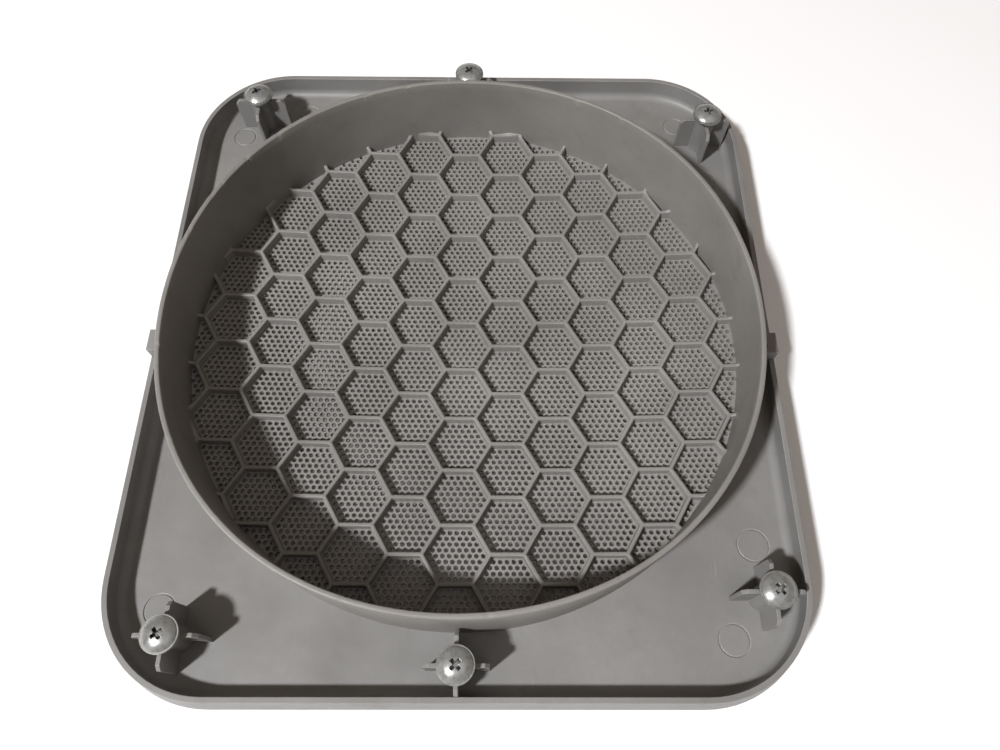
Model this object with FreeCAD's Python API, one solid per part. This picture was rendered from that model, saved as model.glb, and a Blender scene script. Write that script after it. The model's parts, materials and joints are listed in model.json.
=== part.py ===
import FreeCAD, Part
import math
import os

# Ceiling air diffuser, lying on its front face with the duct collar pointing up (+Z), as it hangs
# above the ceiling. Millimetres. X runs across the short side and Y along the long side. The origin
# is under the centre of the plate, at the lowest point of the domed perforated screen.

# ---- plate and its upstanding rim ----
plate_width = 198.4          # outer size at the front edge, before its rounding
plate_length = 221.2
plate_corner_radius = 33.5
plate_thickness = 2.0
rim_height = 7.5             # rim top above the plate's inside floor
rim_wall = 1.5
rim_taper = 2.0              # how far the rim leans in, from front edge to rim top
front_edge_radius = 2.5
floor_fillet = 2.5

# ---- duct collar ----
collar_bore = 178.0
collar_wall = 1.5
collar_height = 24.4         # collar top above the plate's inside floor
collar_edge_chamfer = 0.3
collar_foot_step = 0.75      # the collar's foot, inside the plate's opening, is this much smaller in radius
collar_fit = 0.15            # radial clearance between the foot and the plate's opening

# ---- perforated screen and honeycomb grid ----
screen_thickness = 1.5
dome_sag = 4.1               # how far the screen's middle bulges towards the room
seat_width = 2.15            # flat edge of the screen, which the collar stands on
cell_side = 10.0             # side of one hexagon, between rib centre lines
cell_shift_x = -1.5          # the middle cell sits this far off the collar's axis
cell_shift_y = 0.7
rib_thickness = 1.4
rib_height = 3.1
rib_end_rise = 1.3           # each rib climbs this much where it meets the collar
rib_end_run = 1.2
grid_fit = 0.1               # radial clearance between the grid and the collar

# ---- raised front ring that carries the screen ----
ring_lip = 1.5               # thickness of the ledge under the screen
ring_wall = 5.1              # ring wall outside the collar's opening
ring_edge_radius = 2.0
ring_lip_overlap = 2.15      # how far the ledge reaches in under the screen

# ---- screw posts ----
post_height = 15.0
fin_height = 13.1
post_radius = 3.3
post_bore_depth = 11.0
fin_thickness = 1.1
fin_reach = 8.7              # from the post's axis to the fin's outer edge
fin_chamfer_run = 1.3
fin_chamfer_drop = 1.5
fin_gap = 0.1                # between a fin and the rim that it points at
# name, side of the plate in X and in Y, inset from the rim's inner faces in X and in Y (a middle post
# has side 0 and stands on the plate's centre line), turn of its screw's cross recess in degrees
post_places = [
    ("top_left", -1, 1, 20.2, 16.2, 32),
    ("top_right", 1, 1, 10.7, 23.8, 10),
    ("top_middle", 0, 1, 0.0, 5.2, 42),
    ("bottom_left", -1, -1, 19.7, 14.6, 36),
    ("bottom_middle", 0, -1, 0.0, 7.3, 44),
    ("bottom_right", 1, -1, 10.9, 25.9, 38),
]

# ---- screws and washers ----
screw_radius = 1.75          # over the thread
thread_pitch = 1.3
thread_depth = 0.45
screw_length = 11.0          # under the head
screw_clearance = 0.05       # radial, between thread and post bore
head_radius = 4.5
head_height = 1.7
recess_span = 3.3
recess_width = 1.0
recess_depth = 1.5
washer_radius = 5.0
washer_thickness = 0.8
washer_clearance = 0.25      # radial, around the screw

# ---- side lugs ----
lug_length = 7.0
lug_height = 12.0            # above the plate's inside floor
lug_wall = 1.5
lug_offset_y = -6.0
lug_seat = 3.0               # depth of the notch in the rim that the lug sits in
lug_gap = 0.1                # between the lug and the rim
lug_duct_gap = 0.6           # between the lug and the collar, for a thin duct end slid over the collar

# ---- witness rings that the ejector pins leave on the floor ----
witness_width = 0.35
witness_depth = 0.25
# side of the plate in X and in Y, inset from the rim's inner faces in X and in Y, radius
witness_rings = [
    (-1, 1, 11.9, 21.7, 4.0),
    (-1, 1, 34.4, 10.2, 4.0),
    (1, 1, 18.6, 15.1, 4.0),
    (1, 1, 9.7, 40.2, 4.0),
    (1, -1, 10.7, 40.9, 4.8),
    (1, -1, 19.5, 14.7, 4.5),
    (-1, -1, 12.2, 22.5, 4.5),
]

# ---- levels and radii worked out from the sizes above ----
seat_bottom = dome_sag
seat_top = seat_bottom + screen_thickness
floor_z = seat_top + rib_height
front_z = floor_z - plate_thickness
rim_top = floor_z + rim_height
collar_top = floor_z + collar_height
collar_inner = collar_bore / 2
collar_outer = collar_inner + collar_wall
foot_radius = collar_outer - collar_foot_step
opening_radius = foot_radius + collar_fit
screen_radius = foot_radius
dome_radius = screen_radius - seat_width
grid_radius = collar_inner - grid_fit
inner_width = plate_width - 2 * rim_taper - 2 * rim_wall
inner_length = plate_length - 2 * rim_taper - 2 * rim_wall
inner_corner_radius = plate_corner_radius - rim_taper - rim_wall
post_top = floor_z + post_height
fin_top = floor_z + fin_height
washer_top = post_top + washer_thickness
lug_y0 = lug_offset_y - lug_length / 2
lug_y1 = lug_offset_y + lug_length / 2
lug_foot = rim_top - lug_seat

UP = FreeCAD.Vector(0, 0, 1)
EPS = 1.0                    # how far a cutter runs past the face that it opens


def vec(x, y, z):
    return FreeCAD.Vector(x, y, z)


def box(x0, x1, y0, y1, z0, z1):
    """Box between two opposite corners."""
    return Part.makeBox(x1 - x0, y1 - y0, z1 - z0, vec(x0, y0, z0))


def cylinder(radius, z0, z1, x=0.0, y=0.0):
    """Upright cylinder."""
    return Part.makeCylinder(radius, z1 - z0, vec(x, y, z0), UP)


def rounded_rectangle(width, length, radius, z):
    """Closed wire of a rectangle with round corners, centred on the Z axis."""
    hx = width / 2
    hy = length / 2
    edges = []
    for turn in range(4):
        angle = math.radians(90 * turn)
        a, b = (hx, hy) if turn % 2 == 0 else (hy, hx)

        def spun(x, y):
            return vec(x * math.cos(angle) - y * math.sin(angle),
                       x * math.sin(angle) + y * math.cos(angle), z)

        diagonal = radius * math.sqrt(0.5)
        corner_x = a - radius
        corner_y = b - radius
        edges.append(Part.LineSegment(spun(a, -corner_y), spun(a, corner_y)).toShape())
        middle = spun(corner_x + diagonal, corner_y + diagonal)
        edges.append(Part.Arc(spun(a, corner_y), middle, spun(corner_x, b)).toShape())
    return Part.Wire(edges)


def dome_drop(r):
    """Height lost from the dome's edge to a circle of radius r."""
    ball = (dome_radius ** 2 + dome_sag ** 2) / (2 * dome_sag)
    return math.sqrt(ball ** 2 - r ** 2) - math.sqrt(ball ** 2 - dome_radius ** 2)


def dome_arc(outer, edge_z):
    """Arc in the XZ plane from the axis to radius outer, on the dome whose edge is at edge_z."""
    points = [vec(r, 0, edge_z - dome_drop(r)) for r in (0, outer / 2, outer)]
    return Part.Arc(*points).toShape(), points[0], points[2]


def revolved(edges):
    """Solid of revolution about Z from a closed chain of edges in the XZ plane."""
    face = Part.Face(Part.Wire(Part.sortEdges(edges)[0]))
    return face.revolve(vec(0, 0, 0), UP, 360)


def line(p, q):
    return Part.LineSegment(p, q).toShape()


def chain(points):
    """Straight edges through the points in order."""
    return [line(p, q) for p, q in zip(points, points[1:])]


def edges_at(shape, z, test):
    """Edges lying flat at height z whose points pass the test."""
    found = []
    for edge in shape.Edges:
        box_of_edge = edge.BoundBox
        flat = abs(box_of_edge.ZMin - z) < 1e-4 and abs(box_of_edge.ZMax - z) < 1e-4
        if flat and all(test(v.X, v.Y) for v in edge.Vertexes):
            found.append(edge)
    return found


def face_plate():
    """Rounded plate with an upstanding rim, and a raised front ring with a ledge for the screen."""
    bottom = rounded_rectangle(plate_width, plate_length, plate_corner_radius, front_z)
    top = rounded_rectangle(plate_width - 2 * rim_taper, plate_length - 2 * rim_taper,
                            plate_corner_radius - rim_taper, rim_top)
    body = Part.makeLoft([bottom, top], True, True)
    body = body.makeFillet(front_edge_radius, edges_at(body, front_z, lambda x, y: True))

    pocket = Part.Face(rounded_rectangle(inner_width, inner_length, inner_corner_radius, floor_z))
    pocket = pocket.extrude(vec(0, 0, rim_height + EPS))
    pocket = pocket.makeFillet(floor_fillet, edges_at(pocket, floor_z, lambda x, y: True))
    body = body.cut(pocket)

    ring_bottom = seat_bottom - ring_lip
    ring = cylinder(opening_radius + ring_wall, ring_bottom, floor_z)
    ring = ring.makeFillet(ring_edge_radius, edges_at(ring, ring_bottom, lambda x, y: True))
    body = body.fuse(ring)
    body = body.cut(cylinder(opening_radius, seat_bottom, rim_top))
    body = body.cut(cylinder(screen_radius - ring_lip_overlap, ring_bottom - EPS, rim_top))

    for side_x, side_y, inset_x, inset_y, radius in witness_rings:
        x = side_x * (inner_width / 2 - inset_x)
        y = side_y * (inner_length / 2 - inset_y)
        groove = cylinder(radius, floor_z - witness_depth, rim_top, x, y)
        groove = groove.cut(cylinder(radius - witness_width, floor_z - witness_depth, rim_top, x, y))
        body = body.cut(groove)
    notch = box(inner_width / 2 - EPS, plate_width, lug_y0 - lug_gap, lug_y1 + lug_gap, lug_foot, rim_top + EPS)
    body = body.cut(notch).cut(notch.mirror(vec(0, 0, 0), vec(1, 0, 0)))
    return body.removeSplitter()


def duct_collar():
    """Thin round tube with a shoulder on the plate's floor and a foot on the screen's flat edge."""
    tube = cylinder(collar_outer, floor_z, collar_top).fuse(cylinder(foot_radius, seat_top, floor_z))
    tube = tube.cut(cylinder(collar_inner, seat_top - EPS, collar_top + EPS))
    return tube.makeChamfer(collar_edge_chamfer, edges_at(tube, collar_top, lambda x, y: True))


def perforated_screen():
    """Shallow dome with a flat edge. Its holes are too fine and too many to be cut here."""
    low_arc, low_axis, low_edge = dome_arc(dome_radius, seat_bottom)
    high_arc, high_axis, high_edge = dome_arc(dome_radius, seat_top)
    rest = chain([low_edge, vec(screen_radius, 0, seat_bottom), vec(screen_radius, 0, seat_top), high_edge])
    return revolved([low_arc, high_arc, line(low_axis, high_axis)] + rest)


def hexagon(x, y, side):
    """Flat-topped hexagonal prism that runs right through the grid."""
    corners = []
    for k in range(7):
        angle = math.radians(60 * k)
        corners.append(vec(x + side * math.cos(angle), y + side * math.sin(angle), -EPS))
    return Part.Face(Part.makePolygon(corners)).extrude(vec(0, 0, collar_top))


def honeycomb_grid():
    """Ribs of a regular honeycomb that follow the dome and climb a little at the collar."""
    rise_start = grid_radius - rib_end_run
    low_arc, low_axis, low_edge = dome_arc(dome_radius, seat_top)
    high_arc, high_axis, high_edge = dome_arc(rise_start, floor_z)
    rest = chain([low_edge, vec(grid_radius, 0, seat_top),
                  vec(grid_radius, 0, high_edge.z + rib_end_rise), high_edge])
    blank = revolved([low_arc, high_arc, line(low_axis, high_axis)] + rest)

    opening_side = cell_side - rib_thickness / math.sqrt(3)
    row_pitch = cell_side * math.sqrt(3)
    columns = math.ceil(grid_radius / (1.5 * cell_side)) + 1
    rows = math.ceil(grid_radius / row_pitch) + 1
    cutters = []
    for i in range(-columns, columns + 1):
        for j in range(-rows, rows + 1):
            x = cell_shift_x + 1.5 * cell_side * i
            y = cell_shift_y + row_pitch * (j + 0.5 * (i % 2))
            if math.hypot(x, y) < grid_radius + cell_side:
                cutters.append(hexagon(x, y, opening_side))
    return blank.cut(Part.makeCompound(cutters))


def fin(reach, direction):
    """Upright rib with a chamfered outer corner, from the post's axis outwards."""
    profile = [
        vec(0, 0, floor_z),
        vec(reach, 0, floor_z),
        vec(reach, 0, fin_top - fin_chamfer_drop),
        vec(reach - fin_chamfer_run, 0, fin_top),
        vec(0, 0, fin_top),
        vec(0, 0, floor_z),
    ]
    plate = Part.Face(Part.makePolygon(profile)).extrude(vec(0, fin_thickness, 0))
    plate.translate(vec(0, -fin_thickness / 2, 0))
    plate.rotate(vec(0, 0, 0), UP, direction)
    return plate


def screw_post(x, y):
    """Round post with a blind screw bore and four fins."""
    body = cylinder(post_radius, floor_z, post_top)
    for direction in (0, 90, 180, 270):
        reach = fin_reach
        points_at_rim = abs(x) < EPS and direction == (90 if y > 0 else 270)
        if points_at_rim:
            reach = min(fin_reach, inner_length / 2 - abs(y) - fin_gap)
        body = body.fuse(fin(reach, direction))
    body = body.cut(cylinder(screw_radius + screw_clearance, post_top - post_bore_depth, post_top + EPS))
    body = body.removeSplitter()
    body.translate(vec(x, y, 0))
    clear_of_floor_fillet = rim_side_space()
    return body.common(clear_of_floor_fillet)


def rim_side_space():
    """The space inside the rim, rounded at the floor like the plate, that a post may fill."""
    space = Part.Face(rounded_rectangle(inner_width, inner_length, inner_corner_radius, floor_z))
    space = space.extrude(vec(0, 0, collar_height))
    return space.makeFillet(floor_fillet, edges_at(space, floor_z, lambda x, y: True))


def screw(x, y, turn):
    """Pan-head tapping screw with a cross recess, driven down onto its washer."""
    root = screw_radius - thread_depth
    tip = washer_top - screw_length
    points = [vec(0, 0, washer_top), vec(screw_radius, 0, washer_top)]
    turns = int((screw_length - thread_pitch) / thread_pitch)
    for k in range(turns):
        z = washer_top - washer_thickness - thread_pitch * k
        points.append(vec(screw_radius, 0, z))
        points.append(vec(root, 0, z - thread_pitch / 2))
        points.append(vec(screw_radius, 0, z - thread_pitch * 0.9))
    points += [vec(root, 0, tip + 0.8), vec(0.3, 0, tip), vec(0, 0, tip)]
    shank = revolved(chain(points + [points[0]]))

    ball = (head_radius ** 2 + head_height ** 2) / (2 * head_height)
    skirt = head_height * 0.12
    high = washer_top + head_height
    shoulder = vec(head_radius, 0, washer_top + skirt)
    crown = vec(0, 0, high)
    half = vec(head_radius * 0.6, 0, high - head_height * 0.22)
    head = revolved([Part.Arc(shoulder, half, crown).toShape(), line(crown, vec(0, 0, washer_top))]
                    + chain([vec(0, 0, washer_top), vec(head_radius, 0, washer_top), shoulder]))
    solid = shank.fuse(head)
    for angle in (turn, turn + 90):
        slot = box(-recess_span / 2, recess_span / 2, -recess_width / 2, recess_width / 2,
                   high - recess_depth, high + EPS)
        slot.rotate(vec(0, 0, 0), UP, angle)
        solid = solid.cut(slot)
    solid.translate(vec(x, y, 0))
    return solid


def washer(x, y):
    """Flat washer between the screw head and the post."""
    disc = cylinder(washer_radius, post_top, washer_top, x, y)
    hole = cylinder(screw_radius + washer_clearance, post_top - EPS, washer_top + EPS, x, y)
    return disc.cut(hole)


def side_lug(side):
    """U-shaped pocket that hangs from the rim's notch; side is -1 for left and 1 for right."""
    rim_face = plate_width / 2 - rim_taper
    inner_face = inner_width / 2 - lug_gap
    low = floor_z + floor_fillet
    high = floor_z + lug_height
    lug = box(0, inner_face, lug_y0, lug_y1, low, high).fuse(box(0, rim_face, lug_y0, lug_y1, lug_foot, high))
    lug = lug.cut(box(0, inner_face - lug_wall, lug_y0 + lug_wall, lug_y1 - lug_wall, low - EPS, high + EPS))
    lug = lug.cut(cylinder(collar_outer + lug_duct_gap, 0, high + EPS)).removeSplitter()
    if side < 0:
        lug = lug.mirror(vec(0, 0, 0), vec(1, 0, 0))
    return lug


def export(node, shape):
    solids = shape.Solids
    shape = solids[0] if len(solids) == 1 else Part.makeCompound(solids)
    shape.exportStep("parts/" + node + ".step")
    print(node, len(solids), "solid", round(shape.Volume, 1), "mm3", shape.isValid())


os.makedirs("parts", exist_ok=True)
export("face_plate", face_plate())
export("perforated_screen", perforated_screen())
export("honeycomb_grid", honeycomb_grid())
export("duct_collar", duct_collar())
for place, side_x, side_y, inset_x, inset_y, recess_turn in post_places:
    px = side_x * (inner_width / 2 - inset_x)
    py = side_y * (inner_length / 2 - inset_y)
    export("post_" + place, screw_post(px, py))
    export("washer_" + place, washer(px, py))
    export("screw_" + place, screw(px, py, recess_turn))
export("lug_left", side_lug(-1))
export("lug_right", side_lug(1))
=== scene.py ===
import json
import math
import random

import bpy
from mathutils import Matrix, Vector, noise


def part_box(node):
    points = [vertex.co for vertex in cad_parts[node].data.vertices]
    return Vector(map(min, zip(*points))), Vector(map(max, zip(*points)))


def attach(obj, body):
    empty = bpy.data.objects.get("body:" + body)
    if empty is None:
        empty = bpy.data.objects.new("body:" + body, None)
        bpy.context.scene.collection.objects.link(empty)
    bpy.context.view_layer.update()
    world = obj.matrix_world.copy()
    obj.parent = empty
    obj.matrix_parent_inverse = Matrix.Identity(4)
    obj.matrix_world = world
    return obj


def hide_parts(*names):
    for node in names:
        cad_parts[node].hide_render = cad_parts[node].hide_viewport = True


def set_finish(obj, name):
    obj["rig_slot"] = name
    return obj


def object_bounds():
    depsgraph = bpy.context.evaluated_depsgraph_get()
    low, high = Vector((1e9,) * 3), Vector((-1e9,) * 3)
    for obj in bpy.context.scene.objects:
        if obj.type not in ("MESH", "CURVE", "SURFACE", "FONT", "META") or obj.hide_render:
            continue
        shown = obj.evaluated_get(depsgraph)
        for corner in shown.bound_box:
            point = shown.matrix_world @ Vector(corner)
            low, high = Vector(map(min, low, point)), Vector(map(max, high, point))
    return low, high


# A moulded ceiling air diffuser seen from its duct side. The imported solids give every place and
# size; the screen, honeycomb and collar get finer meshes here, and every surface gets its finish.

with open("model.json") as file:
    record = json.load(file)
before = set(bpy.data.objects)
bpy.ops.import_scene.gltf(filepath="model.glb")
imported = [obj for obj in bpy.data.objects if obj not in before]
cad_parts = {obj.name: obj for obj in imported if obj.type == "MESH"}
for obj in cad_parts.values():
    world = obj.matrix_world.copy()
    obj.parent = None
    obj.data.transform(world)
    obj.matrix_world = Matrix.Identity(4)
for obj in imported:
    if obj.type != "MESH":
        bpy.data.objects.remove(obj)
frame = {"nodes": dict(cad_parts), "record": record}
cad_low, cad_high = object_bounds()
cad_nodes = frame["nodes"]
MM = 0.001

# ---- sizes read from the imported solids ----
collar_low, collar_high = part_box("duct_collar")
screen_low, screen_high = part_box("perforated_screen")
grid_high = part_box("honeycomb_grid")[1]
plate_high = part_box("face_plate")[1]
COLLAR_OUTER = collar_high.x
COLLAR_WALL = 1.5 * MM
COLLAR_BORE = COLLAR_OUTER - COLLAR_WALL
SCREEN_THICKNESS = 1.5 * MM
SCREEN_TOP = screen_high.z
DOME_SAG = SCREEN_TOP - SCREEN_THICKNESS - screen_low.z
SEAT_WIDTH = 2.15 * MM                   # flat edge around the dome
DOME_RADIUS = screen_high.x - SEAT_WIDTH

# ---- screen holes ----
HOLE_PITCH = 2.0 * MM
HOLE_RADIUS = 0.72 * MM
HOLE_SIDES = 12
HOLE_LIMIT = COLLAR_BORE - 0.45 * MM     # holes whose centre is further out are left solid
SCREEN_EDGE = screen_high.x - 0.1 * MM   # the tiles are cut off here

# ---- honeycomb ribs ----
CELL_SIDE = 10.0 * MM
CELL_SHIFT = Vector((-1.5 * MM, 0.7 * MM))
RIB_HALF = 0.58 * MM                     # half the width at the top, where the ribs are thinnest
RIB_DRAFT = 0.12 * MM                    # added to it at the foot
RIB_ROUND = 0.34 * MM
RIB_HEIGHT = 3.1 * MM
RIB_SINK = 0.05 * MM                     # ribs reach this far into the screen
RIB_END_RUN = 1.2 * MM
RIB_TIP_SHARE = 0.7                      # the thin tips are moulded a little short
RIB_END_RISE = RIB_TIP_SHARE * (grid_high.z - SCREEN_TOP - RIB_HEIGHT)
RIB_BURIED = 0.4 * MM                    # ribs end this far inside the collar wall
RIB_STEP = 0.8 * MM

# ---- collar ----
COLLAR_SEGMENTS = 1440
COLLAR_LEVELS = 9
COLLAR_ROUND = 0.4 * MM
COLLAR_FOOT_STEP = 0.75 * MM             # the foot in the plate's opening is this much smaller in radius
RIM_HEIGHT = 7.5 * MM
PLATE_FLOOR = plate_high.z - RIM_HEIGHT
COLLAR_WARP = 0.7 * MM                   # how far the thin wall's top has pulled out of round
NICKS = 22

# ---- colours of the finishes ----
GREY = (0.206, 0.202, 0.198)
SCREEN_GREY = (0.244, 0.236, 0.226)
GRID_GREY = (0.226, 0.220, 0.211)
COLLAR_GREY = (0.222, 0.214, 0.205)
PALE = (0.40, 0.39, 0.365)             # rubbed edges and dust
CUT_EDGE = (0.46, 0.38, 0.29)          # the collar's top edge
DIRT = (0.035, 0.028, 0.022)
WASHER_ZINC = (0.30, 0.30, 0.285)
SCREW_ZINC = (0.37, 0.378, 0.375)
STAIN = (0.24, 0.21, 0.17)
# near-black colour of the painted shade in the screw and washer recesses
RECESS_SHADE = (0.020, 0.024, 0.030)

# ---- floor, light and camera ----
FLOOR_HALF_SIDE = 3.0
FLOOR_GAP = 0.2 * MM
WARM_SKY = (1.0, 0.81, 0.64)
SKY_STRENGTH = 0.20
HORIZON_STRENGTH = 0.65                # added near and below the horizon
WHITE = (1.0, 1.0, 1.0)
CAMERA_SENSOR = 36.0
CAMERA_LENS = 27.03
CAMERA_PLACE = (0.0092, -0.1127, 0.2272)
CAMERA_TURN = (0.4320, -0.0101, 0.0005)


def on_dome(r, edge_z):
    """Height of the dome at radius r, for the dome whose rim is at edge_z."""
    ball = (DOME_RADIUS ** 2 + DOME_SAG ** 2) / (2 * DOME_SAG)
    if r >= DOME_RADIUS:
        return edge_z
    return edge_z - math.sqrt(ball ** 2 - r ** 2) + math.sqrt(ball ** 2 - DOME_RADIUS ** 2)


def new_piece(name, vertices, faces, slot, sharp_angle=35):
    """Mesh object with smooth faces and sharp edges, riding on the root body."""
    mesh = bpy.data.meshes.new(name)
    mesh.from_pydata(vertices, [], faces)
    mesh.validate()
    mesh.polygons.foreach_set("use_smooth", [True] * len(mesh.polygons))
    mesh.set_sharp_from_angle(angle=math.radians(sharp_angle))
    piece = bpy.data.objects.new(name, mesh)
    bpy.context.scene.collection.objects.link(piece)
    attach(piece, "root")
    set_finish(piece, slot)
    return piece


class Welder:
    """Collects faces and gives points that coincide the same vertex."""

    def __init__(self, grid=0.004 * MM):
        self.grid = grid
        self.vertices = []
        self.faces = []
        self.seen = {}

    def vertex(self, x, y, z):
        key = (round(x / self.grid), round(y / self.grid), round(z / self.grid))
        if key not in self.seen:
            self.seen[key] = len(self.vertices)
            self.vertices.append((x, y, z))
        return self.seen[key]

    def face(self, corners):
        distinct = [c for k, c in enumerate(corners) if c != corners[k - 1]]
        if len(set(distinct)) > 2:
            self.faces.append(distinct)


# ---------------------------------------------------------------- perforated screen

def clamped(x, y, limit):
    """The point, drawn in to the radius limit where it lies further out."""
    r = math.hypot(x, y)
    scale = min(1.0, limit / r) if r > 0 else 1.0
    return x * scale, y * scale


def screen_tile(welder, cx, cy):
    """One six-sided tile of the screen with a round hole through it, or solid beyond the limit."""
    corners = []
    for k in range(6):
        angle = math.radians(30 + 60 * k)
        reach = HOLE_PITCH / math.sqrt(3)
        corners.append(clamped(cx + reach * math.cos(angle), cy + reach * math.sin(angle), SCREEN_EDGE))
    hole = []
    for k in range(HOLE_SIDES):
        angle = math.radians(30 + 360 / HOLE_SIDES * k)
        hole.append((cx + HOLE_RADIUS * math.cos(angle), cy + HOLE_RADIUS * math.sin(angle)))
    pierced = math.hypot(cx, cy) < HOLE_LIMIT
    step = HOLE_SIDES // 6
    rings = []
    for edge_z, upwards in ((SCREEN_TOP, True), (SCREEN_TOP - SCREEN_THICKNESS, False)):
        outer = [welder.vertex(x, y, on_dome(math.hypot(x, y), edge_z)) for x, y in corners]
        if not pierced:
            welder.face(outer if upwards else outer[::-1])
            continue
        inner = [welder.vertex(x, y, on_dome(math.hypot(x, y), edge_z)) for x, y in hole]
        rings.append(inner)
        for k in range(6):
            arc = [inner[(k * step + j) % HOLE_SIDES] for j in range(step + 1)]
            loop = [outer[k], outer[(k + 1) % 6]] + arc[::-1]
            welder.face(loop if upwards else loop[::-1])
    if pierced:
        top, bottom = rings
        for k in range(HOLE_SIDES):
            after = (k + 1) % HOLE_SIDES
            welder.face([top[k], top[after], bottom[after], bottom[k]])


def close_outline(welder):
    """Upright faces between the top and bottom outlines of a sheet."""
    used = {}
    for face in welder.faces:
        for a, b in zip(face, face[1:] + face[:1]):
            used[(a, b)] = used.get((a, b), 0) + 1
    open_edges = [edge for edge in used if (edge[1], edge[0]) not in used]
    by_plan = {}
    for a, b in open_edges:
        plan = tuple(sorted((tuple(round(c, 7) for c in welder.vertices[v][:2]) for v in (a, b))))
        by_plan.setdefault(plan, []).append((a, b))
    for pair in by_plan.values():
        if len(pair) == 2:
            (a, b), (c, d) = pair
            welder.faces.append([b, a, d, c])


def perforated_screen():
    """The screen in four quarters, which keeps each mesh light enough to store."""
    row_pitch = HOLE_PITCH * math.sqrt(3) / 2
    count = math.ceil(screen_high.x / row_pitch) + 2
    quarters = {}
    for row in range(-count, count + 1):
        for column in range(-count, count + 1):
            x = CELL_SHIFT.x + HOLE_PITCH * (column + 0.5 * (row % 2))
            y = CELL_SHIFT.y + row_pitch * row
            if math.hypot(x, y) < screen_high.x + 0.6 * HOLE_PITCH:
                quarters.setdefault((x > 0, y > 0), []).append((x, y))
    pieces = []
    for index, key in enumerate(sorted(quarters)):
        welder = Welder()
        for x, y in quarters[key]:
            screen_tile(welder, x, y)
        close_outline(welder)
        piece = new_piece(f"screen_quarter_{index + 1}", welder.vertices, welder.faces, "screen_plastic")
        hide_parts("perforated_screen")
        pieces.append(piece)
    return pieces


# ---------------------------------------------------------------- honeycomb grid

def rib_profile():
    """Half the rib's section as (distance from its middle, height below its top or None for the foot)."""
    profile = [(RIB_HALF + RIB_DRAFT, None), (RIB_HALF, RIB_ROUND)]
    for k in (1, 2, 3):
        angle = math.radians(30 * k)
        profile.append((RIB_HALF - RIB_ROUND * (1 - math.cos(angle)), RIB_ROUND * (1 - math.sin(angle))))
    return profile


def rib_top(r):
    """Height of a rib's top at radius r, climbing at the collar."""
    climb = max(0.0, r - (COLLAR_BORE - RIB_END_RUN)) / RIB_END_RUN
    return on_dome(min(r, DOME_RADIUS), SCREEN_TOP) + RIB_HEIGHT + RIB_END_RISE * min(1.0, climb) ** 2


def inside_span(start, end, limit):
    """The part of the way from start to end, as two shares of it, that lies within the radius limit."""
    way = end - start
    a = way.length_squared
    b = 2 * start.dot(way)
    c = start.length_squared - limit ** 2
    under_root = b * b - 4 * a * c
    if under_root <= 0:
        return None
    root = math.sqrt(under_root)
    first = max(0.0, (-b - root) / (2 * a))
    last = min(1.0, (-b + root) / (2 * a))
    return (first, last) if last - first > 0.02 else None


def rib(welder, start, end):
    """One rib between two corners of the honeycomb, mitred at a corner and cut off in the collar wall."""
    span = inside_span(start, end, COLLAR_BORE + RIB_BURIED)
    if span is None:
        return
    first, last = span
    way = end - start
    along = way.normalized()
    across = Vector((-along.y, along.x))
    near_wall = max(start.length, end.length) > COLLAR_BORE - 2 * RIB_END_RUN
    steps = max(1, round((last - first) * way.length / RIB_STEP)) if near_wall else 1
    half = rib_profile()
    section = [(-d, drop) for d, drop in half] + [(0.0, 0.0)] + half[::-1] + [(0.0, None)]
    rows = []
    for k in range(steps + 1):
        share = first + (last - first) * k / steps
        row = []
        for d, drop in section:
            point = start + way * share + across * d
            mitre = abs(d) / math.sqrt(3)
            if k == 0 and first == 0.0:
                point += along * mitre
            if k == steps and last == 1.0:
                point -= along * mitre
            r = point.length
            z = on_dome(r, SCREEN_TOP) - RIB_SINK if drop is None else rib_top(r) - drop
            row.append(welder.vertex(point.x, point.y, z))
        rows.append(row)
    for low, high in zip(rows, rows[1:]):
        for k in range(len(section)):
            after = (k + 1) % len(section)
            welder.face([low[k], high[k], high[after], low[after]])
    if first > 0.0:
        welder.face(rows[0])
    if last < 1.0:
        welder.face(rows[-1][::-1])


def honeycomb_grid():
    welder = Welder()
    row_pitch = CELL_SIDE * math.sqrt(3)
    columns = math.ceil(COLLAR_BORE / (1.5 * CELL_SIDE)) + 1
    rows = math.ceil(COLLAR_BORE / row_pitch) + 1
    for i in range(-columns, columns + 1):
        for j in range(-rows, rows + 1):
            centre = CELL_SHIFT + Vector((1.5 * CELL_SIDE * i, row_pitch * (j + 0.5 * (i % 2))))
            turns = [math.radians(60 * k) for k in range(4)]
            corners = [centre + CELL_SIDE * Vector((math.cos(t), math.sin(t))) for t in turns]
            for start, end in zip(corners, corners[1:]):
                rib(welder, start, end)
    piece = new_piece("honeycomb_ribs", welder.vertices, welder.faces, "grid_plastic")
    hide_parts("honeycomb_grid")
    return piece


# ---------------------------------------------------------------- collar

def collar_section():
    """The wall's outline as (radius, height), from the inner foot over the top to the outer foot."""
    low, high = collar_low.z, collar_high.z
    reach = high - COLLAR_ROUND - low
    heights = [low + reach * k / COLLAR_LEVELS for k in range(COLLAR_LEVELS + 1)]
    inner = [(COLLAR_BORE, z) for z in heights]
    outer = [(COLLAR_OUTER, z) for z in reversed(heights) if z > PLATE_FLOOR]
    foot = COLLAR_OUTER - COLLAR_FOOT_STEP
    outer += [(COLLAR_OUTER, PLATE_FLOOR), (foot, PLATE_FLOOR), (foot, low)]
    bend_in, bend_out = [], []
    for k in (1, 2, 3):
        angle = math.radians(30 * k)
        back = COLLAR_ROUND * (1 - math.cos(angle))
        z = high - COLLAR_ROUND * (1 - math.sin(angle))
        bend_in.append((COLLAR_BORE + back, z))
        bend_out.append((COLLAR_OUTER - back, z))
    return inner + bend_in + bend_out[::-1] + outer


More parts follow.
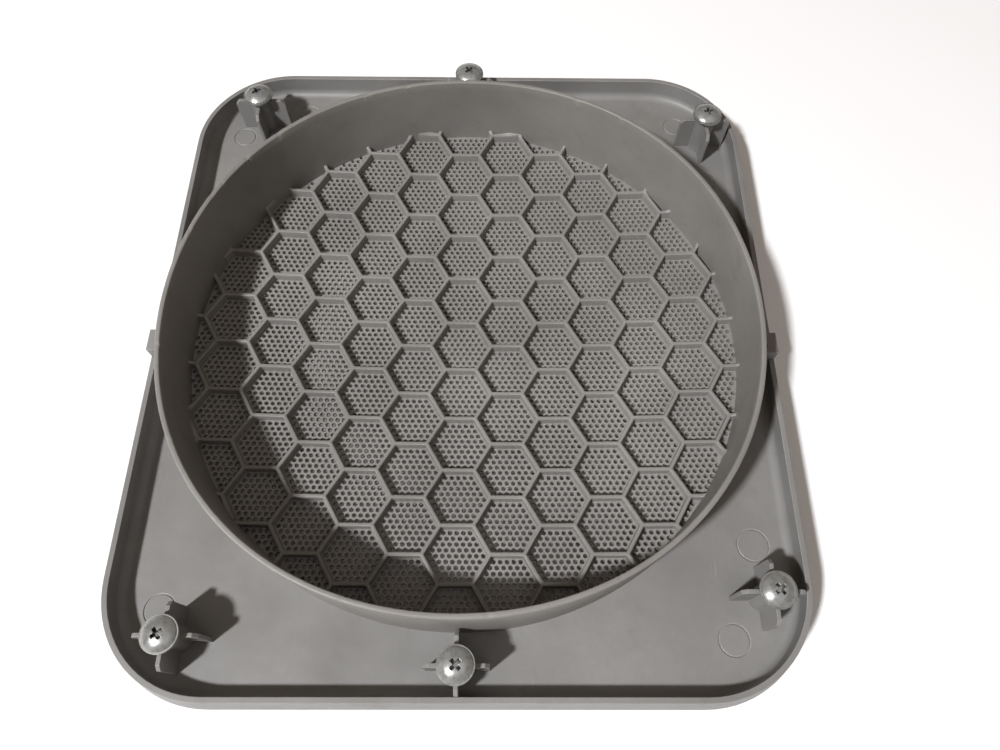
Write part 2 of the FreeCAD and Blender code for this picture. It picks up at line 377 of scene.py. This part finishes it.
def nick_depth(nicks, turn):
    """How far the top edge is knocked down at this turn around the collar."""
    depth = 0.0
    for centre, width, most in nicks:
        gap = abs((turn - centre + math.pi) % (2 * math.pi) - math.pi)
        if gap < width:
            depth = max(depth, most * (1 - (gap / width) ** 2))
    return depth


def duct_collar():
    """Thin ring wall with a knocked, slightly wavy top edge and a wall that isn't quite round."""
    picker = random.Random(7)
    nicks = []
    for _ in range(NICKS):
        width = picker.uniform(0.4, 1.6) * MM / COLLAR_OUTER
        nicks.append((picker.uniform(0, 2 * math.pi), width, picker.uniform(0.06, 0.24) * MM))
    section = collar_section()
    bend = collar_high.z - COLLAR_ROUND
    vertices = []
    for s in range(COLLAR_SEGMENTS):
        turn = 2 * math.pi * s / COLLAR_SEGMENTS
        ca, sa = math.cos(turn), math.sin(turn)
        pulled = -COLLAR_WARP * math.cos(4 * turn)
        knock = nick_depth(nicks, turn)
        ripple = 0.05 * MM * noise.noise(Vector((ca * 9, sa * 9, 0.0)))
        for r, z in section:
            height = (z - collar_low.z) / (collar_high.z - collar_low.z)
            r_here = r + pulled * height ** 2
            z_here = z + ripple * height - (knock if z > bend else 0.0)
            vertices.append((r_here * ca, r_here * sa, min(z_here, collar_high.z)))
    count = len(section)
    faces = []
    for s in range(COLLAR_SEGMENTS):
        a = s * count
        b = (s + 1) % COLLAR_SEGMENTS * count
        for k in range(count):
            after = (k + 1) % count
            faces.append([a + k, b + k, b + after, a + after])
    piece = new_piece("collar_ring", vertices, faces, "collar_plastic", 50)
    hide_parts("duct_collar")
    return piece


# ---------------------------------------------------------------- shader helpers

def add(tree, kind, inputs=None, **settings):
    """New shader node; a socket among the inputs is linked and anything else is set."""
    node = tree.nodes.new(kind)
    for key, value in settings.items():
        setattr(node, key, value)
    for key, value in (inputs or {}).items():
        if isinstance(value, bpy.types.NodeSocket):
            tree.links.new(value, node.inputs[key])
        else:
            node.inputs[key].default_value = value
    return node


def calc(tree, operation, a, b=0.0):
    return add(tree, "ShaderNodeMath", {0: a, 1: b}, operation=operation).outputs[0]


def blend(tree, factor, a, b):
    """Colour between a and b."""
    node = add(tree, "ShaderNodeMix", {"Factor": factor}, data_type="RGBA")
    for index, value in ((6, a), (7, b)):
        if isinstance(value, bpy.types.NodeSocket):
            tree.links.new(value, node.inputs[index])
        else:
            node.inputs[index].default_value = (*value, 1.0)
    return node.outputs[2]


def remap(tree, value, from_low, from_high, to_low=0.0, to_high=1.0):
    inputs = {"Value": value, "From Min": from_low, "From Max": from_high}
    inputs.update({"To Min": to_low, "To Max": to_high})
    return add(tree, "ShaderNodeMapRange", inputs, clamp=True).outputs[0]


def place(tree, stretch=(1, 1, 1), turn=(0, 0, 0)):
    """Position on the object in metres, stretched and turned for a pattern."""
    spot = add(tree, "ShaderNodeTexCoord").outputs["Object"]
    return add(tree, "ShaderNodeMapping", {"Vector": spot, "Scale": stretch, "Rotation": turn}).outputs[0]


def clouds(tree, vector, size, detail=4.0, rough=0.5):
    """Noise whose features are about size metres across."""
    inputs = {"Vector": vector, "Scale": 1 / size, "Detail": detail, "Roughness": rough}
    return add(tree, "ShaderNodeTexNoise", inputs).outputs[0]


def specks(tree, vector, spacing, radius, share):
    """Small round spots, at share of the points of a random pattern."""
    cells = add(tree, "ShaderNodeTexVoronoi", {"Vector": vector, "Scale": 1 / spacing, "Randomness": 1.0})
    spot = remap(tree, cells.outputs["Distance"], radius / spacing, 0.6 * radius / spacing)
    pick = add(tree, "ShaderNodeSeparateColor", {0: cells.outputs["Color"]}).outputs[0]
    return calc(tree, "MULTIPLY", spot, calc(tree, "LESS_THAN", pick, share))


def scratches(tree, turn, seed):
    """Fine straight scratches running one way."""
    lines = clouds(tree, place(tree, (1.0, 0.035, 1.0), (0, 0, turn)), 0.35 * MM + seed, 2.0, 0.6)
    patches = clouds(tree, place(tree), 22 * MM + seed, 2.0)
    return calc(tree, "MULTIPLY", remap(tree, lines, 0.66, 0.74), remap(tree, patches, 0.52, 0.62))


def rounded_normal(tree, radius):
    """Normal of the surface as if its edges were rounded."""
    return add(tree, "ShaderNodeBevel", {"Radius": radius}, samples=6).outputs[0]


def worn_edges(tree, rounded):
    """How much a point lies on an outer or inner edge, from the rounded normal there."""
    true_normal = add(tree, "ShaderNodeNewGeometry").outputs["Normal"]
    closeness = add(tree, "ShaderNodeVectorMath", {0: rounded, 1: true_normal}, operation="DOT_PRODUCT")
    return remap(tree, closeness.outputs["Value"], 0.995, 0.86)


def painted_recess_shade(tree, reach):
    """Painted shade mask: how deep a point sits in a narrow recess, from ambient occlusion."""
    openness = add(tree, "ShaderNodeAmbientOcclusion", {"Distance": reach}, samples=6).outputs["AO"]
    return remap(tree, openness, 0.62, 0.22)


def surface(name, metallic=0.0, specular=0.5):
    material = bpy.data.materials.new(name)
    material.use_nodes = True
    tree = material.node_tree
    tree.nodes.clear()
    shader = add(tree, "ShaderNodeBsdfPrincipled", {"Metallic": metallic, "Specular IOR Level": specular})
    out = add(tree, "ShaderNodeOutputMaterial")
    tree.links.new(shader.outputs[0], out.inputs["Surface"])
    return material, tree, shader


# ---------------------------------------------------------------- finishes

def moulded_plastic(name, colour, edge_colour, edge_radius, edge_share, wear=1.0, grain=1.0):
    """Grey ABS with a satin spark-eroded skin, handling marks, specks of dirt and pale edges."""
    material, tree, shader = surface(name)
    spot = place(tree)
    broad = clouds(tree, spot, 38 * MM, 5.0, 0.55)
    fine = clouds(tree, spot, 1.6 * MM, 3.0, 0.6)
    skin = clouds(tree, spot, 0.22 * MM, 2.0, 0.5)
    darker = tuple(c * 0.82 for c in colour)
    lighter = tuple(c * 1.13 for c in colour)
    warm_dirt = (colour[0] * 0.62, colour[1] * 0.55, colour[2] * 0.46)
    base = blend(tree, remap(tree, broad, 0.3, 0.7), darker, lighter)
    base = blend(tree, remap(tree, fine, 0.35, 0.75, 0.0, 0.22), base, darker)
    grime = calc(tree, "MULTIPLY", remap(tree, clouds(tree, spot, 13 * MM, 6.0, 0.65), 0.56, 0.78),
                 remap(tree, skin, 0.3, 0.7, 0.3, 1.0))
    base = blend(tree, calc(tree, "MULTIPLY", grime, 0.5 * wear), base, warm_dirt)
    marks = calc(tree, "MAXIMUM", scratches(tree, 0.5, 0.0), scratches(tree, -0.9, 0.02 * MM))
    base = blend(tree, calc(tree, "MULTIPLY", marks, 0.34 * wear), base, edge_colour)
    dirt_specks = specks(tree, spot, 11 * MM, 0.28 * MM, 0.22)
    dust = specks(tree, spot, 4.2 * MM, 0.13 * MM, 0.25)
    base = blend(tree, calc(tree, "MULTIPLY", dust, 0.45), base, edge_colour)
    base = blend(tree, calc(tree, "MULTIPLY", dirt_specks, 0.8), base, DIRT)

    normal = None
    if edge_radius:
        normal = rounded_normal(tree, edge_radius)
        patchy = remap(tree, clouds(tree, spot, 2.4 * MM, 4.0, 0.7), 0.3, 0.62, 0.45, 1.0)
        rubbed = calc(tree, "MULTIPLY", worn_edges(tree, normal), patchy)
        base = blend(tree, calc(tree, "MULTIPLY", rubbed, edge_share), base, edge_colour)
    tree.links.new(base, shader.inputs["Base Color"])

    gloss = remap(tree, broad, 0.3, 0.7, 0.40, 0.52)
    gloss = calc(tree, "ADD", gloss, remap(tree, grime, 0.0, 1.0, 0.0, 0.18))
    gloss = calc(tree, "ADD", gloss, calc(tree, "MULTIPLY", marks, 0.1))
    tree.links.new(gloss, shader.inputs["Roughness"])

    height = calc(tree, "MULTIPLY", skin, 0.010 * MM * grain)
    height = calc(tree, "ADD", height, calc(tree, "MULTIPLY", fine, 0.020 * MM * grain))
    height = calc(tree, "ADD", height, calc(tree, "MULTIPLY", clouds(tree, spot, 16 * MM, 2.0), 0.30 * MM))
    height = calc(tree, "SUBTRACT", height, calc(tree, "MULTIPLY", marks, 0.012 * MM))
    bump_inputs = {"Height": height, "Strength": 1.0, "Distance": 1.0}
    if normal is not None:
        bump_inputs["Normal"] = normal
    bump = add(tree, "ShaderNodeBump", bump_inputs)
    tree.links.new(bump.outputs[0], shader.inputs["Normal"])
    return material


def zinc_steel(name, colour, low_gloss, high_gloss):
    """Zinc-plated steel: blotchy plating, fine scuffs, and painted shade darkening the hollows."""
    material, tree, shader = surface(name, metallic=0.55)
    spot = place(tree)
    plating = clouds(tree, spot, 1.8 * MM, 5.0, 0.6)
    fine = clouds(tree, spot, 0.16 * MM, 2.0)
    scuffs = remap(tree, clouds(tree, place(tree, (1.0, 0.08, 1.0), (0, 0, 0.7)), 0.25 * MM, 3.0), 0.60, 0.70)
    dull = tuple(c * 0.72 for c in colour)
    base = blend(tree, remap(tree, plating, 0.35, 0.68), dull, colour)
    stain = remap(tree, clouds(tree, spot, 3.1 * MM, 4.0, 0.65), 0.58, 0.72)
    base = blend(tree, calc(tree, "MULTIPLY", stain, 0.35), base, STAIN)
    # Painted shade: the hollows are darkened towards a near-black colour wherever occlusion is high.
    base = blend(tree, painted_recess_shade(tree, 1.3 * MM), base, RECESS_SHADE)
    tree.links.new(base, shader.inputs["Base Color"])
    gloss = remap(tree, plating, 0.3, 0.7, low_gloss, high_gloss)
    gloss = calc(tree, "ADD", gloss, calc(tree, "MULTIPLY", scuffs, 0.15))
    tree.links.new(gloss, shader.inputs["Roughness"])
    rounded = rounded_normal(tree, 0.18 * MM)
    pits = calc(tree, "MULTIPLY", fine, 0.006 * MM)
    height = calc(tree, "ADD", pits, calc(tree, "MULTIPLY", plating, 0.03 * MM))
    bump_inputs = {"Height": height, "Strength": 1.0, "Distance": 1.0, "Normal": rounded}
    bump = add(tree, "ShaderNodeBump", bump_inputs)
    tree.links.new(bump.outputs[0], shader.inputs["Normal"])
    return material


def finishes():
    """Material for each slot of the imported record."""
    return {
        "plate_plastic": moulded_plastic("plate_plastic", GREY, PALE, 0.35 * MM, 0.75),
        "screen_plastic": moulded_plastic("screen_plastic", SCREEN_GREY, PALE, 0.0, 0.0, 0.8),
        "grid_plastic": moulded_plastic("grid_plastic", GRID_GREY, PALE, 0.0, 0.0, 0.9),
        "collar_plastic": moulded_plastic("collar_plastic", COLLAR_GREY, CUT_EDGE, 0.4 * MM, 0.9, 1.3),
        "post_plastic": moulded_plastic("post_plastic", GREY, PALE, 0.3 * MM, 0.6),
        "washer_steel": zinc_steel("washer_steel", WASHER_ZINC, 0.36, 0.50),
        "screw_steel": zinc_steel("screw_steel", SCREW_ZINC, 0.24, 0.36),
    }


def dress(pieces):
    """Gives each piece and each shown CAD node the material of its slot."""
    made = finishes()
    slots = {part["node"]: part["material_slot"] for part in frame["record"]["subparts"]}
    for node, shown in cad_nodes.items():
        shown.data.materials.clear()
        shown.data.materials.append(made[slots[node]])
    for piece in pieces:
        piece.data.materials.append(made[piece["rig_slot"]])


# ---------------------------------------------------------------- floor, light and camera

def floor():
    """Large pale sheet that the diffuser lies on."""
    mesh = bpy.data.meshes.new("floor")
    side = FLOOR_HALF_SIDE
    corners = [(-side, -side, 0), (side, -side, 0), (side, side, 0), (-side, side, 0)]
    mesh.from_pydata(corners, [], [[0, 1, 2, 3]])
    sheet = bpy.data.objects.new("floor", mesh)
    sheet.location.z = cad_low.z - FLOOR_GAP
    bpy.context.scene.collection.objects.link(sheet)
    material, tree, shader = surface("pale_floor", specular=0.2)
    paper = clouds(tree, place(tree), 60 * MM, 3.0)
    tree.links.new(blend(tree, paper, (0.93, 0.94, 0.96), (0.95, 0.96, 0.98)), shader.inputs["Base Color"])
    shader.inputs["Roughness"].default_value = 0.8
    # Painted light: the lamps stand close, so the sheet glows a little further out to lift it where their
    # light falls off.
    spot = add(tree, "ShaderNodeTexCoord").outputs["Object"]
    away = add(tree, "ShaderNodeVectorMath", {0: spot}, operation="LENGTH").outputs["Value"]
    shader.inputs["Emission Color"].default_value = (*WHITE, 1.0)
    tree.links.new(remap(tree, away, 0.4, 2.4, 0.0, 0.8), shader.inputs["Emission Strength"])
    mesh.materials.append(material)


def lamp(name, direction, distance, size, power, colour):
    light = bpy.data.lights.new(name, "AREA")
    light.shape = "DISK"
    light.size = size
    light.energy = power
    light.color = colour
    holder = bpy.data.objects.new(name, light)
    away = Vector(direction).normalized()
    centre = Vector((0, 0, collar_low.z))
    holder.location = centre + away * distance
    holder.rotation_euler = away.to_track_quat("Z", "Y").to_euler()
    bpy.context.scene.collection.objects.link(holder)


def lights():
    world = bpy.data.worlds.new("studio")
    world.use_nodes = True
    bpy.context.scene.world = world
    tree = world.node_tree
    glow = tree.nodes["Background"]
    direction = add(tree, "ShaderNodeTexCoord").outputs["Generated"]
    climb = add(tree, "ShaderNodeSeparateXYZ", {0: direction}).outputs["Z"]
    horizon = remap(tree, climb, 0.10, -0.04)
    tree.links.new(blend(tree, horizon, WARM_SKY, WHITE), glow.inputs["Color"])
    strength = calc(tree, "ADD", calc(tree, "MULTIPLY", horizon, HORIZON_STRENGTH), SKY_STRENGTH)
    tree.links.new(strength, glow.inputs["Strength"])
    lamp("key", (-0.92, -0.82, 1.55), 1.6, 0.13, 32.5, WHITE)
    lamp("fill", (0.6, -0.5, 1.8), 1.6, 1.2, 2.2, (0.95, 0.97, 1.0))


def camera():
    """The photograph's viewpoint: above the near edge, tipped towards the far one."""
    data = bpy.data.cameras.new("camera")
    data.sensor_width = CAMERA_SENSOR
    data.lens = CAMERA_LENS
    data.clip_start = 0.005
    holder = bpy.data.objects.new("camera", data)
    holder.location = CAMERA_PLACE
    holder.rotation_euler = CAMERA_TURN
    bpy.context.scene.collection.objects.link(holder)
    bpy.context.scene.camera = holder


bpy.context.scene.view_settings.view_transform = "Standard"
dress(perforated_screen() + [honeycomb_grid(), duct_collar()])
floor()
lights()
camera()
